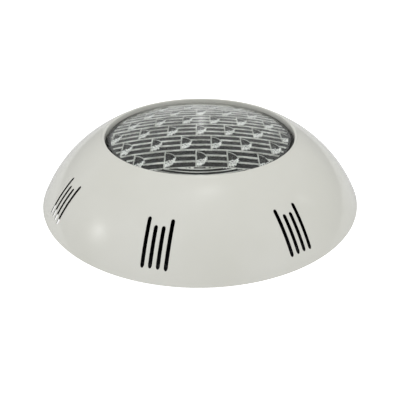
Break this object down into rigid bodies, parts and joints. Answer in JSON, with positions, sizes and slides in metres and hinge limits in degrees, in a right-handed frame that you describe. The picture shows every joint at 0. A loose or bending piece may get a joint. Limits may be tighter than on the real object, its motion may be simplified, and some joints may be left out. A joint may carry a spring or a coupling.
{
  "type": "underwater pool light",
  "caption": "Round wall-hung underwater light: a glossy domed cover with groups of water slots round a domed fluted lens, over a sealed lamp on a wall plate.",
  "frame": {"origin": "on the light's axis, in the plane of the wall behind the plate", "axes": "+Z out of the wall along the light's axis, +Y up on the wall, +X to the right"},
  "size_m": [0.29, 0.29, 0.0615],
  "materials": {
    "cover": "glossy off-white",
    "plate": "dark grey, fine texture",
    "bowl": "black, fine texture",
    "ring": "black satin",
    "rubber": "black",
    "lens": "clear, polished",
    "optic": "clear fluted, seen over a dark board",
    "board": "black solder mask",
    "aluminium": "plain",
    "steel": "stainless",
    "brass": "nickel-free, turned",
    "driver": "green solder mask",
    "component": "black moulded",
    "capacitor": "sleeved can",
    "copper": "enamelled copper winding",
    "red": "red lead sleeve",
    "black": "black lead sleeve"
  },
  "bodies": {
    "lamp_and_plate": {"wall_plate": "plate", "lamp_bowl": "bowl", "lens_gasket": "rubber", "front_lens": "lens", "clamp_ring": "ring", "optic_plate": "optic", "led_board": "board", "heat_spreader": "aluminium", "driver_board": "driver", "capacitor_1": "capacitor", "capacitor_2": "capacitor", "choke": "copper", "rectifier": "component", "terminal_block": "component", "lead_red": "red", "lead_black": "black", "gland_body": "brass", "gland_washer": "rubber", "gland_seal": "rubber", "cover_clip_1": "steel", "clip_screw_1": "steel", "lamp_screw_1": "steel", "board_pillar_1": "aluminium", "board_screw_1": "steel", "driver_screw_1": "steel", "cover_clip_2": "steel", "clip_screw_2": "steel", "lamp_screw_2": "steel", "board_pillar_2": "aluminium", "board_screw_2": "steel", "driver_screw_2": "steel", "cover_clip_3": "steel", "clip_screw_3": "steel", "lamp_screw_3": "steel", "board_pillar_3": "aluminium", "board_screw_3": "steel", "driver_screw_3": "steel", "cover_clip_4": "steel", "clip_screw_4": "steel", "lamp_screw_4": "steel", "board_pillar_4": "aluminium", "board_screw_4": "steel", "driver_screw_4": "steel", "clamp_screw_1": "steel", "clamp_screw_2": "steel", "clamp_screw_3": "steel", "clamp_screw_4": "steel", "clamp_screw_5": "steel", "clamp_screw_6": "steel"},
    "front_cover": {"front_cover": "cover"},
    "thrust_washer": {"gland_thrust_washer": "steel"},
    "gland_nut": {"gland_nut": "brass"}
  },
  "joints": [
    {"name": "cover_lift", "type": "slide", "parent": "lamp_and_plate", "child": "front_cover", "axis": [0, 0, 1], "range_m": [0, 0.09]},
    {"name": "gland_nut_travel", "type": "slide", "parent": "lamp_and_plate", "child": "thrust_washer", "axis": [-1, 0, 0], "range_m": [0, 0.006]},
    {"name": "gland_nut_turn", "type": "hinge", "parent": "thrust_washer", "child": "gland_nut", "pos_m": [-0.075, 0.072, 0.0241], "axis": [-1, 0, 0], "range_deg": [0, 1440]}
  ],
  "couplings": [
    {"joint": "gland_nut_travel", "follows": "gland_nut_turn", "m_per_rad": 0.0002387}
  ]
}
